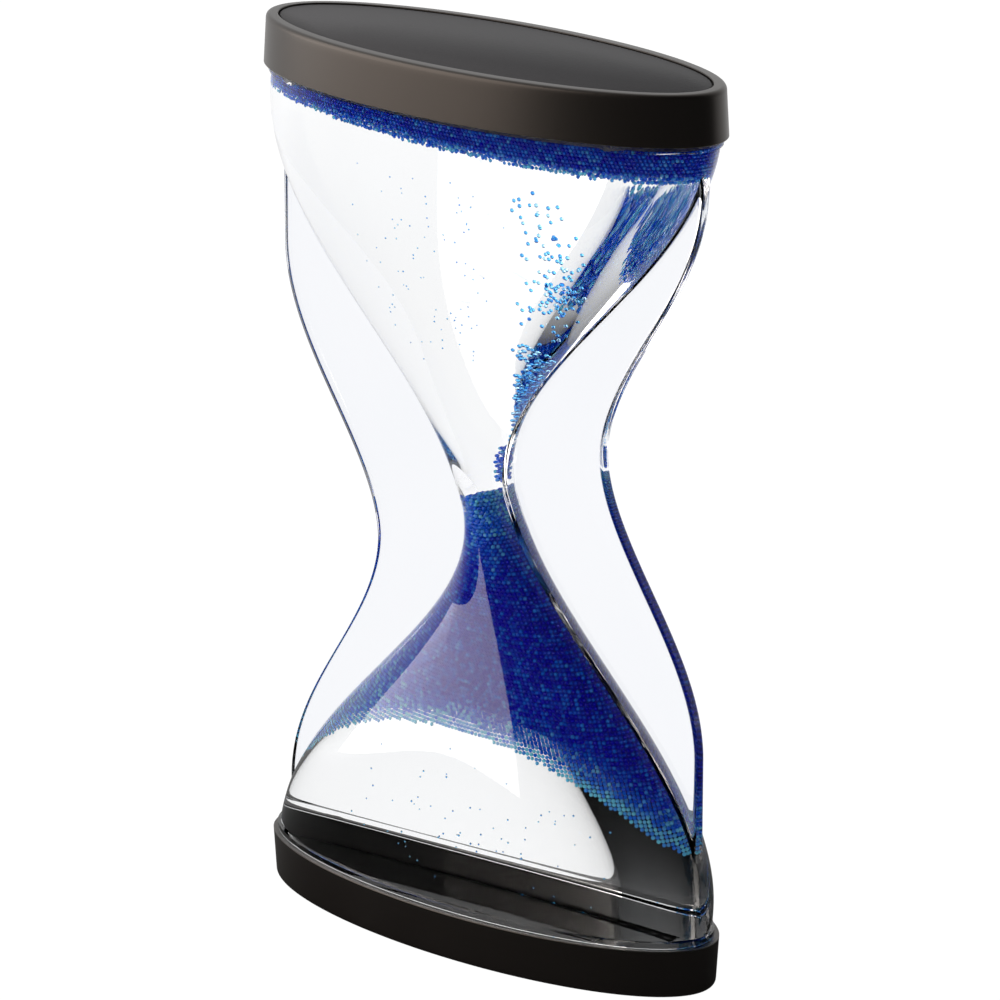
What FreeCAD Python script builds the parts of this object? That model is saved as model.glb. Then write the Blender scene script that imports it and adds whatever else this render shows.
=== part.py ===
import FreeCAD, Part
import math
import os
import random

# Liquid hourglass timer: a clear moulded vessel with side fins, closed by two plates and
# held between two black end caps. Blue beads lighter than the liquid rise through the neck.
# Millimetres. X is the width, -Y is the front, +Z is up, and the origin is the centre of the
# face that the timer stands on.

# ---- end caps and their inset pads ----
overall_height = 145.0
cap_width = 89.2
cap_depth = 33.6
cap_height = 8.0
cap_wall = 1.6
cap_roof = 1.6
cap_draft = 0.45
cap_edge_radius = 0.8
pad_margin = 2.6
pad_recess = 0.8
pad_thickness = 0.6
pad_gap = 0.3

# ---- clear vessel ----
flange_inset = 0.8
flange_ledge = 0.5
flange_height = 1.2
spigot_clearance = 0.15
mouth_wall = 1.4
neck_half_width = 3.9
neck_half_depth = 5.8
neck_wall = 1.3
flank_power = 0.92
lean = 4.1
lean_power = 0.85
section_count = 21

# ---- side fins, one each side, moulded with the vessel ----
fin_thickness = 2.2
fin_inset = 2.3
fin_waist_half_width = 23.0
fin_waist_offset = 11.4
fin_flank_length = 46.0
fin_edge_radius = 0.5
fin_points = 15

# ---- closure plates and filling plug ----
plate_thickness = 1.8
plug_position = 26.0
plug_radius_outside = 2.6
plug_radius_inside = 2.3

# ---- beads ----
bead_diameter = 0.6
upper_bed_depth_left = 3.6
upper_bed_depth_right = 6.6
lower_bed_left_rise = 9.0
lower_bed_crown_rise = 34.5
lower_bed_right_rise = 11.0
lower_bed_crown_shift = 4.0
neck_fill_left = -0.5
neck_fill_right = 2.5
stream_back = 2.2
stream_wall_gap = 0.3
stream_foot_rise = 10.0
stream_foot_radius = 1.0
stream_top_radius = 3.4
stream_slope = 0.34
stream_length = 18.0
stream_travel = 9.0
stream_crowding = 1.2
stream_beads = 80
neck_beads_count = 34
loose_beads_count = 46
drifting_beads_count = 30

# ---- where the free beads lie, as shares of the space unless a size is named ----
bead_spacing_in_diameters = 1.1
neck_beads_back = (0.2, 0.6)
neck_beads_from_wall_in_diameters = (1.0, 3.0)
loose_beads_height = (0.45, 0.82)
loose_beads_across = (-0.4, 0.72)
drifting_beads_height = (0.1, 0.75)
drifting_beads_deep = 0.8
drifting_beads_across = 0.6

# ---- sizes that follow from the ones above ----
middle = overall_height / 2
body_bottom = cap_height + flange_height
body_top = overall_height - body_bottom
body_half_height = middle - body_bottom
cap_half_width = cap_width / 2
cap_half_depth = cap_depth / 2
flange_half_width = cap_half_width - flange_inset
flange_half_depth = cap_half_depth - flange_inset
pocket_floor = pad_recess + cap_roof
spigot_half_width = cap_half_width - cap_wall - spigot_clearance
spigot_half_depth = cap_half_depth - cap_wall - spigot_clearance
mouth_half_width = spigot_half_width - mouth_wall
mouth_half_depth = spigot_half_depth - mouth_wall
plate_bottom = pocket_floor + spigot_clearance
spigot_bottom = plate_bottom + plate_thickness
fin_half_width = cap_half_width - fin_inset
overlap = 0.01


def ellipse_wire(half_width, half_depth, z, x=0.0):
    """Closed elliptical outline in a level plane, a circle stretched along X and Y."""
    stretch = FreeCAD.Matrix()
    stretch.scale(half_width, half_depth, 1)
    outline = Part.makeCircle(1).transformGeometry(stretch)
    outline.translate(FreeCAD.Vector(x, 0, z))
    return Part.Wire(outline)


def ellipse_slab(half_width, half_depth, bottom, height):
    """Flat elliptical plate."""
    face = Part.Face(ellipse_wire(half_width, half_depth, bottom))
    return face.extrude(FreeCAD.Vector(0, 0, height))


def turned_over(shape):
    """The same piece at the other end, turned half a turn about the front-to-back axis."""
    copy = shape.copy()
    copy.rotate(FreeCAD.Vector(0, 0, middle), FreeCAD.Vector(0, 1, 0), 180)
    return copy


def flank(share):
    """Rise of a side from 0 at the waist to 1 at the full width."""
    return math.sin(math.pi / 2 * min(share, 1.0) ** flank_power) ** 2


def lean_at(z):
    """Sideways shift of the chamber, which leans one way above the neck and back below."""
    share = min(abs(z - middle) / body_half_height, 1.0)
    shift = lean * math.sin(math.pi * share ** lean_power)
    return -shift if z > middle else shift


def chamber_section(z, neck_width, neck_depth, end_width, end_depth):
    """Half width and half depth of an elliptical section at a height."""
    rise = flank(abs(z - middle) / body_half_height)
    return neck_width + (end_width - neck_width) * rise, neck_depth + (end_depth - neck_depth) * rise


def chamber_loft(neck_width, neck_depth, end_width, end_depth):
    """Hourglass solid through level ellipses, from one end flange to the other."""
    wires = []
    for step in range(section_count):
        z = body_bottom + (body_top - body_bottom) * step / (section_count - 1)
        half_width, half_depth = chamber_section(z, neck_width, neck_depth, end_width, end_depth)
        wires.append(ellipse_wire(half_width, half_depth, z, lean_at(z)))
    return Part.makeLoft(wires, True, False)


def inner_half_width(z):
    """Half width of the liquid space at a height."""
    return chamber_section(z, neck_half_width - neck_wall, neck_half_depth - neck_wall,
                           mouth_half_width, mouth_half_depth)[0]


def inner_half_depth(z):
    """Half depth of the liquid space at a height."""
    return chamber_section(z, neck_half_width - neck_wall, neck_half_depth - neck_wall,
                           mouth_half_width, mouth_half_depth)[1]


def inner_space():
    """The whole space that the liquid and the beads fill, between the two closure plates."""
    space = chamber_loft(neck_half_width - neck_wall, neck_half_depth - neck_wall,
                         mouth_half_width, mouth_half_depth)
    mouth_height = body_bottom - spigot_bottom
    mouth = ellipse_slab(mouth_half_width, mouth_half_depth, spigot_bottom, mouth_height)
    return space.fuse([mouth, turned_over(mouth)]).removeSplitter()


def fin_edge(z):
    """Half width of the right-hand fin, whose waist is above the middle."""
    distance = abs(z - middle - fin_waist_offset)
    return fin_waist_half_width + (fin_half_width - fin_waist_half_width) * flank(distance / fin_flank_length)


def fin_sheet():
    """Both fins as one flat sheet in the middle plane; the left edge is the right one turned over."""
    right = []
    for step in range(fin_points):
        z = body_bottom + (body_top - body_bottom) * step / (fin_points - 1)
        right.append(FreeCAD.Vector(fin_edge(z), -fin_thickness / 2, z))
    left = [FreeCAD.Vector(-p.x, p.y, 2 * middle - p.z) for p in right]
    edges = []
    for points in (right, left):
        curve = Part.BSplineCurve()
        curve.interpolate(points)
        edges.append(curve.toShape())
    edges.append(Part.makeLine(right[-1], left[0]))
    edges.append(Part.makeLine(left[-1], right[0]))
    face = Part.Face(Part.Wire(Part.__sortEdges__(edges)))
    sheet = face.extrude(FreeCAD.Vector(0, fin_thickness, 0))
    rims = [edge for edge in sheet.Edges if is_fin_rim(edge)]
    return sheet.makeFillet(fin_edge_radius, rims)


def is_fin_rim(edge):
    """True for the four long curved edges of the fin sheet."""
    box = edge.BoundBox
    return box.ZLength > body_half_height and box.YLength < overlap


def vessel():
    """Clear body: hourglass wall, fins, and a flange and a spigot at each end."""
    outer = chamber_loft(neck_half_width, neck_half_depth,
                         flange_half_width - flange_ledge, flange_half_depth - flange_ledge)
    flange = ellipse_slab(flange_half_width, flange_half_depth, cap_height, flange_height)
    spigot = ellipse_slab(spigot_half_width, spigot_half_depth, spigot_bottom, cap_height - spigot_bottom)
    pieces = [flange, spigot, turned_over(flange), turned_over(spigot), fin_sheet()]
    return outer.fuse(pieces).cut(inner_space()).removeSplitter()


def bottom_cap():
    """Black end cap: drafted oval cup with a rounded outer edge and a recess for the pad."""
    face_wire = ellipse_wire(cap_half_width - cap_draft, cap_half_depth - cap_draft, 0)
    rim_wire = ellipse_wire(cap_half_width, cap_half_depth, cap_height)
    cup = Part.makeLoft([face_wire, rim_wire], True, True)
    outer_edge = [edge for edge in cup.Edges if edge.BoundBox.ZMax < overlap]
    cup = cup.makeFillet(cap_edge_radius, outer_edge)
    recess = ellipse_slab(cap_half_width - pad_margin, cap_half_depth - pad_margin, 0, pad_recess)
    pocket = ellipse_slab(cap_half_width - cap_wall, cap_half_depth - cap_wall,
                          pocket_floor, cap_height - pocket_floor)
    return cup.cut(recess).cut(pocket)


def bottom_pad():
    """Thin textured sheet stuck into the recess of the cap."""
    inset = pad_margin + pad_gap
    return ellipse_slab(cap_half_width - inset, cap_half_depth - inset,
                        pad_recess - pad_thickness, pad_thickness)


def closure_plate():
    """Clear plate welded over the mouth of the vessel."""
    return ellipse_slab(spigot_half_width, spigot_half_depth, plate_bottom, plate_thickness)


def fill_plug():
    """Tapered plug of the filling hole in the lower closure plate."""
    base = FreeCAD.Vector(plug_position, 0, plate_bottom)
    return Part.makeCone(plug_radius_outside, plug_radius_inside, plate_thickness, base)


def front_back_prism(points, arc_middle=None):
    """Solid of a closed outline in the front view, deep enough to cut the whole chamber."""
    corners = [FreeCAD.Vector(x, -cap_depth, z) for x, z in points]
    edges = [Part.makeLine(a, b) for a, b in zip(corners, corners[1:])]
    if arc_middle:
        crown = FreeCAD.Vector(arc_middle[0], -cap_depth, arc_middle[1])
        edges.append(Part.Arc(corners[-1], crown, corners[0]).toShape())
    else:
        edges.append(Part.makeLine(corners[-1], corners[0]))
    face = Part.Face(Part.Wire(edges))
    return face.extrude(FreeCAD.Vector(0, 2 * cap_depth, 0))


def upper_bead_bed(space):
    """Beads that have arrived, packed under the upper closure plate."""
    cap_edge = overall_height - cap_height
    outline = [(-cap_half_width, cap_edge - upper_bed_depth_left), (-cap_half_width, overall_height),
               (cap_half_width, overall_height), (cap_half_width, cap_edge - upper_bed_depth_right)]
    return space.common(front_back_prism(outline))


def lower_bead_bed(space):
    """Beads still to rise, packed up against the neck, with an arched underside."""
    left = (-cap_half_width, cap_height + lower_bed_left_rise)
    right = (cap_half_width, cap_height + lower_bed_right_rise)
    top_left = (-cap_half_width, middle + neck_fill_left)
    top_right = (cap_half_width, middle + neck_fill_right)
    neck_left = (-neck_half_width, middle + neck_fill_left)
    neck_right = (neck_half_width, middle + neck_fill_right)
    crown = (lower_bed_crown_shift, cap_height + lower_bed_crown_rise)
    outline = [left, top_left, neck_left, neck_right, top_right, right]
    return space.common(front_back_prism(outline, crown))


def right_wall(z, y):
    """Right-hand limit of the liquid space at a height and a distance from the middle plane."""
    return lean_at(z) + inner_half_width(z) * math.sqrt(1 - (y / inner_half_depth(z)) ** 2)


def stream_foot():
    """Lowest point of the rising stream, beside the right-hand wall above the neck."""
    z = middle + stream_foot_rise
    x = right_wall(z, stream_back) - stream_foot_radius - stream_wall_gap
    return FreeCAD.Vector(x, stream_back, z)


def stream_direction():
    """Way that the rising beads move: up and a little to the right."""
    return FreeCAD.Vector(stream_slope, 0, 1).normalize()


def stream_channel():
    """Widening round way through the liquid that the rising beads take."""
    foot = stream_foot() - stream_direction() * bead_diameter
    length = stream_length + stream_travel + 2 * bead_diameter
    return Part.makeCone(stream_foot_radius, stream_top_radius, length, foot, stream_direction())


def spread_beads(seed, count, place):
    """Beads at random places that keep at least a diameter from each other."""
    picker = random.Random(seed)
    centres = []
    while len(centres) < count:
        spot = place(picker)
        if all(spot.distanceToPoint(other) > bead_diameter * bead_spacing_in_diameters for other in centres):
            centres.append(spot)
    return Part.Compound([Part.makeSphere(bead_diameter / 2, centre) for centre in centres])


def stream_place(picker):
    """A place in the stream, which is tight at its foot and loose towards its top."""
    rise = picker.random() ** stream_crowding
    widening = (stream_top_radius - stream_foot_radius) / (stream_length + stream_travel)
    radius = stream_foot_radius + widening * stream_length * rise - bead_diameter
    spread = radius * math.sqrt(picker.random())
    angle = picker.uniform(0, 2 * math.pi)
    offset = FreeCAD.Vector(spread * math.cos(angle), spread * math.sin(angle), 0)
    return stream_foot() + stream_direction() * (stream_length * rise) + offset


def neck_place(picker):
    """A place in the dense column between the filled neck and the foot of the stream."""
    rise = picker.uniform(neck_fill_right + bead_diameter, stream_foot_rise - 2 * bead_diameter)
    z = middle + rise
    y = picker.uniform(*neck_beads_back) * inner_half_depth(z)
    x = right_wall(z, y) - picker.uniform(*neck_beads_from_wall_in_diameters) * bead_diameter
    return FreeCAD.Vector(x, y, z)


def loose_place(picker):
    """A place in the open upper chamber, in front of the stream."""
    z = middle + body_half_height * picker.uniform(*loose_beads_height)
    half_depth = inner_half_depth(z)
    nearest = stream_top_radius - stream_back + bead_diameter
    y = -picker.uniform(nearest, half_depth - 2 * bead_diameter)
    reach = inner_half_width(z) * math.sqrt(1 - (y / half_depth) ** 2)
    return FreeCAD.Vector(lean_at(z) + picker.uniform(*loose_beads_across) * reach, y, z)


def drifting_place(picker):
    """A place in the clear liquid under the lower bead bed."""
    z = cap_height + lower_bed_left_rise * picker.uniform(*drifting_beads_height)
    y = picker.uniform(-1, 1) * drifting_beads_deep * (inner_half_depth(z) - bead_diameter)
    return FreeCAD.Vector(picker.uniform(-1, 1) * drifting_beads_across * inner_half_width(z), y, z)


def save(shape, node):
    """Write one node and report its volume."""
    shape.exportStep("parts/" + node + ".step")
    print(node, len(shape.Solids), "solids", round(shape.Volume, 1), "mm3", shape.isValid())


def main():
    os.makedirs("parts", exist_ok=True)
    space = inner_space()
    upper_bed = upper_bead_bed(space)
    lower_bed = lower_bead_bed(space)
    neck = spread_beads(2, neck_beads_count, neck_place)
    rising = spread_beads(3, stream_beads, stream_place)
    loose = spread_beads(5, loose_beads_count, loose_place)
    drifting = spread_beads(8, drifting_beads_count, drifting_place)
    liquid = space.cut([upper_bed, lower_bed, stream_channel()])
    liquid = liquid.cut(neck.Solids + loose.Solids + drifting.Solids)
    plug = fill_plug()
    save(vessel(), "vessel")
    save(bottom_cap(), "bottom_cap")
    save(turned_over(bottom_cap()), "top_cap")
    save(bottom_pad(), "bottom_pad")
    save(turned_over(bottom_pad()), "top_pad")
    save(closure_plate().cut(plug), "lower_closure_plate")
    save(turned_over(closure_plate()), "upper_closure_plate")
    save(plug, "fill_plug")
    save(liquid, "liquid")
    save(upper_bed, "upper_bead_bed")
    save(lower_bed, "lower_bead_bed")
    save(neck, "neck_beads")
    save(rising, "rising_beads")
    save(loose, "loose_beads")
    save(drifting, "drifting_beads")


main()
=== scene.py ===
import math
import random

import bmesh
import bpy
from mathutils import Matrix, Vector


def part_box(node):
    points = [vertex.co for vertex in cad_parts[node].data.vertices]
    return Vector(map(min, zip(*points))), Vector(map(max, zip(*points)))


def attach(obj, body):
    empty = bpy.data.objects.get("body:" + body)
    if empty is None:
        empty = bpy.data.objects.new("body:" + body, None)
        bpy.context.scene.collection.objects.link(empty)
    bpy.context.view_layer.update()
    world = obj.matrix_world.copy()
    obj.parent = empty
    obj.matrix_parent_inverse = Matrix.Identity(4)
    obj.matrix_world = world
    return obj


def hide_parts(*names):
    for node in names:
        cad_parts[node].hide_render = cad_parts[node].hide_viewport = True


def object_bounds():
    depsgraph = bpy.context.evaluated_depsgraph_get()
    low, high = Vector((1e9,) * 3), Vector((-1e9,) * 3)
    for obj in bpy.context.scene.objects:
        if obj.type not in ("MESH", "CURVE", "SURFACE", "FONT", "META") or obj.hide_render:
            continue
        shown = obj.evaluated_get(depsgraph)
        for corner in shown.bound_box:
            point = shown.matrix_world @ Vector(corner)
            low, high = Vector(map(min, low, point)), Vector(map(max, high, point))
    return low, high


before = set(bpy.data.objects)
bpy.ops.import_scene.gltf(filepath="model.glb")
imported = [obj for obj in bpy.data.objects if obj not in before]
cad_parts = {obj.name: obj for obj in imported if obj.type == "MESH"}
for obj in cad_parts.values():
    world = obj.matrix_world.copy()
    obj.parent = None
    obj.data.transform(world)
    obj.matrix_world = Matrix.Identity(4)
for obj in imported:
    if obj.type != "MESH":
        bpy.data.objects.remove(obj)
cad_low, cad_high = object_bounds()


# ---------------------------------------------------------------------------------------------
# The studio. A pale seamless table and a white surround, one tall softbox at the front left and
# darkness around the camera, which is what draws dark edges on clear plastic.
# ---------------------------------------------------------------------------------------------
MM = 0.001
camera_azimuth = math.radians(40.0)
camera_elevation = math.radians(18.12)
camera_distance = 0.9162
focal_length = 209.7
aim_right = 1.42 * MM
aim_down = 0.70 * MM
softbox_azimuth = math.radians(-48)
softbox_distance = 0.75
softbox_width = 0.85
softbox_height = 1.10
softbox_power = 10.0
backdrop_side = (-0.643, 0.766, 0.0)
sweep_side = (-0.50, 0.87, 0.0)
floor_reach = 6
floor_glow = 1.0


def linear(hex_colour):
    """sRGB hex to the linear RGBA that shaders use."""
    channels = [int(hex_colour[i:i + 2], 16) / 255 for i in (0, 2, 4)]
    return [c / 12.92 if c <= 0.04045 else ((c + 0.055) / 1.055) ** 2.4 for c in channels] + [1.0]


def add(tree, kind, settings=None, links=None):
    """Adds a node: settings are its own properties or its sockets, links are sockets that feed it."""
    node = tree.nodes.new(kind)
    for key, value in (settings or {}).items():
        if isinstance(key, str) and hasattr(node, key):
            setattr(node, key, value)
        else:
            node.inputs[key].default_value = value
    for key, source in (links or {}).items():
        tree.links.new(source, node.inputs[key])
    return node


def look_at(thing, place, target):
    """Puts a light or the camera in its place, facing a point."""
    thing.location = place
    thing.rotation_euler = (target - place).to_track_quat("-Z", "Y").to_euler()
    bpy.context.scene.collection.objects.link(thing)


scene = bpy.context.scene
scene.view_settings.view_transform = "Standard"
scene.cycles.max_bounces = 32
scene.cycles.transmission_bounces = 32
scene.cycles.glossy_bounces = 16

middle = (cad_low[2] + cad_high[2]) / 2
forward = Vector((-math.sin(camera_azimuth) * math.cos(camera_elevation),
                  math.cos(camera_azimuth) * math.cos(camera_elevation),
                  -math.sin(camera_elevation)))
right = Vector((math.cos(camera_azimuth), math.sin(camera_azimuth), 0))
up = right.cross(forward)
target = Vector((0, 0, middle)) + right * aim_right - up * aim_down
camera = bpy.data.objects.new("camera", bpy.data.cameras.new("camera"))
camera.data.lens = focal_length
camera.data.clip_start = 0.01
look_at(camera, target - forward * camera_distance, target)
scene.camera = camera

softbox = bpy.data.objects.new("softbox", bpy.data.lights.new("softbox", "AREA"))
softbox.data.shape = "RECTANGLE"
softbox.data.size = softbox_width
softbox.data.size_y = softbox_height
softbox.data.energy = softbox_power
softbox.data.color = linear("fff6ee")[:3]
softbox_place = Vector((math.sin(softbox_azimuth) * softbox_distance,
                        -math.cos(softbox_azimuth) * softbox_distance, softbox_height / 2))
look_at(softbox, softbox_place, Vector((0, 0, softbox_height / 2)))

world = bpy.data.worlds.new("studio")
scene.world = world
world.use_nodes = True
tree = world.node_tree
tree.nodes.clear()
direction = add(tree, "ShaderNodeTexCoord")
facing = add(tree, "ShaderNodeVectorMath", {"operation": "DOT_PRODUCT", 1: backdrop_side},
             {0: direction.outputs["Generated"]})
behind = add(tree, "ShaderNodeMapRange", {"From Min": -0.3, "From Max": 0.6, "To Min": 0.03, "To Max": 1.0},
             {"Value": facing.outputs["Value"]})
either_way = add(tree, "ShaderNodeMath", {"operation": "ABSOLUTE"}, {0: facing.outputs["Value"]})
sheet = add(tree, "ShaderNodeMapRange", {"From Min": 0.30, "From Max": 0.80, "To Min": 0.30, "To Max": 1.06},
            {"Value": either_way.outputs["Value"]})
height = add(tree, "ShaderNodeSeparateXYZ", {}, {"Vector": direction.outputs["Generated"]})
overhead = add(tree, "ShaderNodeMapRange", {"From Min": 0.3, "From Max": 0.8, "To Min": 1.0, "To Max": 0.4},
               {"Value": height.outputs["Z"]})
seen_through = add(tree, "ShaderNodeMath", {"operation": "MULTIPLY"},
                   {0: sheet.outputs["Result"], 1: overhead.outputs["Result"]})
rays = add(tree, "ShaderNodeLightPath")
through = add(tree, "ShaderNodeMix", {},
              {"Factor": rays.outputs["Is Transmission Ray"], "A": behind.outputs["Result"],
               "B": seen_through.outputs["Value"]})
strength = add(tree, "ShaderNodeMix", {"B": 1.0},
               {"Factor": rays.outputs["Is Camera Ray"], "A": through.outputs["Result"]})
white = add(tree, "ShaderNodeBackground", {"Color": (1, 1, 1, 1)}, {"Strength": strength.outputs["Result"]})
add(tree, "ShaderNodeOutputWorld", {}, {"Surface": white.outputs["Background"]})

floor_mesh = bpy.data.meshes.new("floor")
floor_corners = [(x * floor_reach, y * floor_reach, 0) for x, y in ((-1, -1), (1, -1), (1, 1), (-1, 1))]
floor_mesh.from_pydata(floor_corners, [], [(0, 1, 2, 3)])
floor = bpy.data.objects.new("floor", floor_mesh)
scene.collection.objects.link(floor)
paper = bpy.data.materials.new("white_paper")
paper.use_nodes = True
tree = paper.node_tree
tree.nodes.clear()
rays = add(tree, "ShaderNodeLightPath")
lit = add(tree, "ShaderNodeBsdfDiffuse", {"Color": linear("484848")})
glow = add(tree, "ShaderNodeEmission", {"Color": (1, 1, 1, 1), "Strength": floor_glow})
bright = add(tree, "ShaderNodeAddShader", {}, {0: lit.outputs["BSDF"], 1: glow.outputs["Emission"]})
place = add(tree, "ShaderNodeTexCoord")
far_side = add(tree, "ShaderNodeVectorMath", {"operation": "DOT_PRODUCT", 1: sweep_side},
               {0: place.outputs["Object"]})
sweep = add(tree, "ShaderNodeMapRange", {"From Min": 0.0, "From Max": 0.25, "To Min": 0.0, "To Max": 0.9},
            {"Value": far_side.outputs["Value"]})
sheen = add(tree, "ShaderNodeEmission", {}, {"Strength": sweep.outputs["Result"]})
shade = add(tree, "ShaderNodeBsdfDiffuse", {"Color": linear("303030")})
dark = add(tree, "ShaderNodeAddShader", {}, {0: shade.outputs["BSDF"], 1: sheen.outputs["Emission"]})
reflected = add(tree, "ShaderNodeMath", {"operation": "MULTIPLY"},
                {0: rays.outputs["Is Glossy Ray"], 1: rays.outputs["Is Reflection Ray"]})
mixed = add(tree, "ShaderNodeMixShader", {},
            {"Fac": reflected.outputs["Value"], 1: bright.outputs["Shader"], 2: dark.outputs["Shader"]})
add(tree, "ShaderNodeOutputMaterial", {}, {"Surface": mixed.outputs["Shader"]})
floor_mesh.materials.append(paper)


# ---------------------------------------------------------------------------------------------
# The two end caps: black ABS mouldings, one shape used at both ends. Oval cups with a slight
# draft, a rounded outer edge, a shallow recess for the pad, and a fine spark-eroded satin skin.
# ---------------------------------------------------------------------------------------------
cap_low, cap_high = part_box("bottom_cap")
cap_half_width = 44.6 * MM
cap_half_depth = 16.8 * MM
cap_height = cap_high[2] - cap_low[2]
total_height = cad_high[2] - cad_low[2]
cap_draft = 0.45 * MM
cap_edge_radius = 0.8 * MM
cap_wall = 1.6 * MM
pocket_floor = 2.4 * MM
pad_margin = 2.6 * MM
pad_recess = 0.8 * MM
recess_break = 0.12 * MM
rim_inner_break = 0.15 * MM
rim_outer_break = 0.12 * MM
side_steps = 9
edge_steps = 6
oval_steps = 192

# The sockets of a Mix node that take and give colours, which share their names with its others.
COLOUR_A = 6
COLOUR_B = 7
COLOUR_OUT = 2


def oval(half_width, half_depth, z, steps=oval_steps, centre=0.0):
    """Level elliptical loop of points, anticlockwise from +X."""
    turn = 2 * math.pi / steps
    return [Vector((centre + half_width * math.cos(turn * i), half_depth * math.sin(turn * i), z))
            for i in range(steps)]


def skin_rings(name, rings, close_start=True, close_end=True):
    """Mesh through a stack of loops that have as many points each, wound outwards going up."""
    mesh = bpy.data.meshes.new(name)
    count = len(rings[0])
    faces = []
    for level in range(len(rings) - 1):
        for i in range(count):
            j = (i + 1) % count
            faces.append((level * count + i, level * count + j,
                          (level + 1) * count + j, (level + 1) * count + i))
    if close_start:
        faces.append(tuple(range(count - 1, -1, -1)))
    if close_end:
        last = (len(rings) - 1) * count
        faces.append(tuple(range(last, last + count)))
    mesh.from_pydata([point for ring in rings for point in ring], [], faces)
    return mesh


def finish_piece(name, mesh, materials, smooth_angle=40):
    """Puts a mesh into the scene as a smooth-shaded piece."""
    for made in materials:
        mesh.materials.append(made)
    mesh.polygons.foreach_set("use_smooth", [True] * len(mesh.polygons))
    mesh.set_sharp_from_angle(angle=math.radians(smooth_angle))
    piece = bpy.data.objects.new(name, mesh)
    scene.collection.objects.link(piece)
    return piece


def new_material(name):
    """A named node material with its tree and its Principled shader."""
    made = bpy.data.materials.new(name)
    made.use_nodes = True
    return made, made.node_tree, made.node_tree.nodes["Principled BSDF"]


def satin_abs():
    """Black ABS from a spark-eroded mould: an even satin. Its real grain of about 0.15 mm would not show,
    so it is drawn at 0.35 mm, over slow changes in tone and gloss."""
    made, tree, shader = new_material("black_satin_abs")
    place = add(tree, "ShaderNodeTexCoord")
    grain = add(tree, "ShaderNodeTexNoise", {"Scale": 1 / (0.35 * MM), "Detail": 3.0, "Roughness": 0.6},
                {"Vector": place.outputs["Object"]})
    cloud = add(tree, "ShaderNodeTexNoise", {"Scale": 1 / (22 * MM), "Detail": 2.0},
                {"Vector": place.outputs["Object"]})
    tone = add(tree, "ShaderNodeMix",
               {"data_type": "RGBA", COLOUR_A: linear("080606"), COLOUR_B: linear("0d0b0a")},
               {0: cloud.outputs["Fac"]})
    gloss = add(tree, "ShaderNodeMapRange", {"To Min": 0.30, "To Max": 0.38},
                {"Value": cloud.outputs["Fac"]})
    relief = add(tree, "ShaderNodeBump", {"Strength": 0.10, "Distance": 0.03 * MM},
                 {"Height": grain.outputs["Fac"]})
    shader.inputs["IOR"].default_value = 1.53
    shader.inputs["Specular Tint"].default_value = linear("fff2e8")
    tree.links.new(tone.outputs[COLOUR_OUT], shader.inputs["Base Color"])
    tree.links.new(gloss.outputs["Result"], shader.inputs["Roughness"])
    tree.links.new(relief.outputs["Normal"], shader.inputs["Normal"])
    return made


def cap_mesh(name, top):
    """Oval cup; the top one is the bottom one turned over."""
    profile = [(cap_wall, pocket_floor),
               (cap_wall, cap_height - rim_inner_break), (cap_wall - rim_inner_break, cap_height),
               (rim_outer_break, cap_height), (0.0, cap_height - rim_outer_break)]
    for step in range(1, side_steps):
        profile.append((cap_draft * step / side_steps, cap_height - rim_outer_break
                        - (cap_height - cap_edge_radius - rim_outer_break) * step / side_steps))
    for step in range(edge_steps + 1):
        turn = math.pi / 2 * step / edge_steps
        profile.append((cap_draft + cap_edge_radius * (1 - math.cos(turn)),
                        cap_edge_radius * (1 - math.sin(turn))))
    profile += [(pad_margin - recess_break, 0.0), (pad_margin, recess_break), (pad_margin, pad_recess)]
    rings = []
    for inset, z in profile:
        level = total_height - z if top else z
        rings.append(oval(cap_half_width - inset, cap_half_depth - inset, level))
    mesh = skin_rings(name, rings)
    if not top:
        mesh.flip_normals()
    return mesh


black_abs = satin_abs()
for cap_name, is_top in (("bottom_cap", False), ("top_cap", True)):
    cap = finish_piece(cap_name + "_moulding", cap_mesh(cap_name + "_moulding", is_top), [black_abs],
                       smooth_angle=35)
    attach(cap, "timer")
    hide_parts(cap_name)


# ---------------------------------------------------------------------------------------------
# The inset pads: thin die-cut sheets of black textured vinyl, stuck into the recess of each cap.
# The grain is fine and matt, and stands a little below the rim of the cap.
# ---------------------------------------------------------------------------------------------
pad_gap = 0.3 * MM
pad_thickness = 0.6 * MM
pad_edge = 0.12 * MM


def grained_vinyl():
    """Embossed black vinyl: grains about 0.4 mm across that scatter the light to a bluish grey."""
    made, tree, shader = new_material("black_grained_vinyl")
    place = add(tree, "ShaderNodeTexCoord")
    grain = add(tree, "ShaderNodeTexVoronoi", {"Scale": 1 / (0.42 * MM)}, {"Vector": place.outputs["Object"]})
    fine = add(tree, "ShaderNodeTexNoise", {"Scale": 1 / (0.2 * MM), "Detail": 2.0},
               {"Vector": place.outputs["Object"]})
    height = add(tree, "ShaderNodeMath", {"operation": "ADD"},
                 {0: grain.outputs["Distance"], 1: fine.outputs["Fac"]})
    relief = add(tree, "ShaderNodeBump", {"Strength": 0.5, "Distance": 0.06 * MM},
                 {"Height": height.outputs["Value"]})
    tone = add(tree, "ShaderNodeMix",
               {"data_type": "RGBA", COLOUR_A: linear("1c1b1f"), COLOUR_B: linear("2c2b30")},
               {0: fine.outputs["Fac"]})
    shader.inputs["IOR"].default_value = 1.5
    shader.inputs["Roughness"].default_value = 0.62
    tree.links.new(tone.outputs[COLOUR_OUT], shader.inputs["Base Color"])
    tree.links.new(relief.outputs["Normal"], shader.inputs["Normal"])
    return made


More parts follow.
